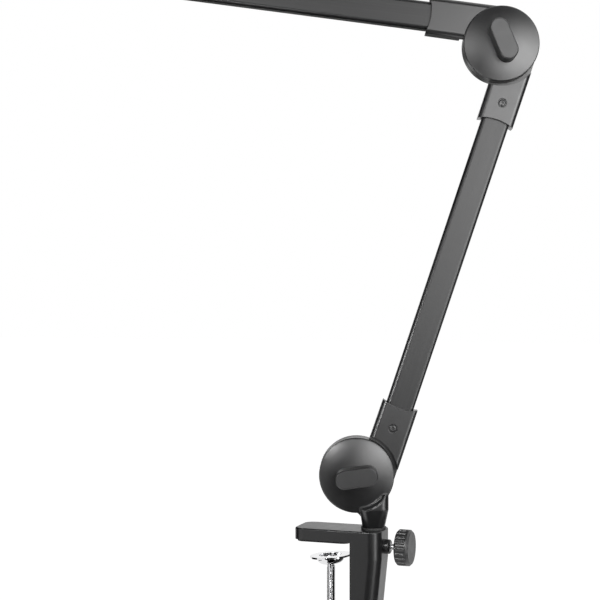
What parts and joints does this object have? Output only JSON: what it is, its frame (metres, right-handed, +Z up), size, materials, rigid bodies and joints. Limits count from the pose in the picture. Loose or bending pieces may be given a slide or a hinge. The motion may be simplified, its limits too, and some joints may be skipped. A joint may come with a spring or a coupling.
{
  "type": "microphone boom arm",
  "caption": "Black desk-clamp boom arm for a microphone: swivel neck, jointed tube arms with oval tension knobs, and a tilting threaded head.",
  "frame": {"origin": "on the underside of the upper jaw's pad, which rests on the desk, where the clamp screw's axis meets it", "axes": "+Z up, along the clamp screw; -X the way the jaws point, over the desk; the arms stand in an upright plane that is yawed 17 degrees about +Z from the clamp"},
  "size_m": [0.4172, 0.1433, 0.5622],
  "materials": {
    "cast_black": "satin",
    "tube_black": "satin",
    "clamp_black": "satin",
    "knob_black": "satin",
    "bearing_plastic": "matte",
    "chrome_steel": "polished",
    "dark_steel": "satin",
    "plain_steel": "satin",
    "brass": "satin",
    "rubber": "matte"
  },
  "bodies": {
    "clamp": {"clamp_frame": "clamp_black", "jaw_pad": "rubber", "socket_bush": "bearing_plastic"},
    "clamp_foot": {"clamp_foot": "chrome_steel"},
    "clamp_screw": {"clamp_screw": "chrome_steel", "screw_hub": "chrome_steel"},
    "clamp_handle": {"handle_bar": "chrome_steel", "handle_caps": "rubber"},
    "swivel_lock": {"lock_screw": "chrome_steel", "lock_knob": "knob_black"},
    "neck": {"neck": "cast_black", "swivel_pin": "plain_steel", "shoulder_friction_washer": "bearing_plastic", "shoulder_bush": "bearing_plastic", "shoulder_thrust_washer": "plain_steel"},
    "lower_arm": {"lower_arm_shoulder_knuckle": "cast_black", "lower_arm_tube": "tube_black", "lower_arm_elbow_knuckle": "cast_black", "lower_arm_screws": "dark_steel", "shoulder_bolt": "plain_steel", "shoulder_bolt_cap": "knob_black", "elbow_bolt": "plain_steel", "elbow_bolt_cap": "knob_black"},
    "shoulder_knob": {"shoulder_knob": "knob_black", "shoulder_knob_insert": "brass"},
    "upper_arm": {"upper_arm_elbow_knuckle": "cast_black", "upper_arm_tube": "tube_black", "upper_arm_head_knuckle": "cast_black", "upper_arm_screws": "dark_steel", "elbow_friction_washer": "bearing_plastic", "elbow_bush": "bearing_plastic", "elbow_thrust_washer": "plain_steel", "head_bolt": "plain_steel", "head_bolt_cap": "knob_black"},
    "elbow_knob": {"elbow_knob": "knob_black", "elbow_knob_insert": "brass"},
    "head": {"head_block": "cast_black", "head_friction_washer": "bearing_plastic", "head_bush": "bearing_plastic", "head_thrust_washer": "plain_steel", "stud_grub_screw": "dark_steel"},
    "head_knob": {"head_knob": "knob_black", "head_knob_insert": "brass"},
    "stud": {"head_stud": "plain_steel", "thread_adapter": "plain_steel"}
  },
  "joints": [
    {"name": "clamp_foot_travel", "type": "slide", "parent": "clamp", "child": "clamp_foot", "axis": [0, 0, 1], "range_m": [-0.042, 0.01025]},
    {"name": "clamp_screw_turn", "type": "hinge", "parent": "clamp_foot", "child": "clamp_screw", "pos_m": [0, 0, -0.0117], "axis": [0, 0, 1], "range_deg": [-15120, 3690]},
    {"name": "handle_bar_slide", "type": "slide", "parent": "clamp_screw", "child": "clamp_handle", "axis": [0, 1, 0], "range_m": [-0.018, 0.018]},
    {"name": "swivel_lock_turn", "type": "hinge", "parent": "clamp", "child": "swivel_lock", "pos_m": [0.0439, 0, -0.0026], "axis": [1, 0, 0], "range_deg": [0, 360]},
    {"name": "neck_swivel", "type": "hinge", "parent": "clamp", "child": "neck", "pos_m": [0.0348, 0, 0.0105], "axis": [0, 0, 1], "continuous": true},
    {"name": "shoulder_fold", "type": "hinge", "parent": "neck", "child": "lower_arm", "pos_m": [0.02218, -0.00386, 0.0533], "axis": [0.2924, -0.9563, 0], "range_deg": [-41, 93]},
    {"name": "shoulder_knob_turn", "type": "hinge", "parent": "lower_arm", "child": "shoulder_knob", "pos_m": [0.02218, -0.00386, 0.0533], "axis": [0.2924, -0.9563, 0], "range_deg": [0, 360]},
    {"name": "elbow_fold", "type": "hinge", "parent": "lower_arm", "child": "upper_arm", "pos_m": [0.12838, 0.02861, 0.38521], "axis": [0.2924, -0.9563, 0], "range_deg": [-100, 58]},
    {"name": "elbow_knob_turn", "type": "hinge", "parent": "lower_arm", "child": "elbow_knob", "pos_m": [0.12838, 0.02861, 0.38521], "axis": [0.2924, -0.9563, 0], "range_deg": [0, 360]},
    {"name": "head_tilt", "type": "hinge", "parent": "upper_arm", "child": "head", "pos_m": [-0.20107, -0.07211, 0.44878], "axis": [0.2924, -0.9563, 0], "range_deg": [-30, 110]},
    {"name": "head_knob_turn", "type": "hinge", "parent": "upper_arm", "child": "head_knob", "pos_m": [-0.20107, -0.07211, 0.44878], "axis": [0.2924, -0.9563, 0], "range_deg": [0, 360]},
    {"name": "stud_swivel", "type": "hinge", "parent": "head", "child": "stud", "pos_m": [-0.20107, -0.07211, 0.44878], "axis": [0.9563, 0.2924, 0], "continuous": true}
  ],
  "couplings": [
    {"joint": "clamp_screw_turn", "follows": "clamp_foot_travel", "rad_per_m": 6283.2}
  ]
}
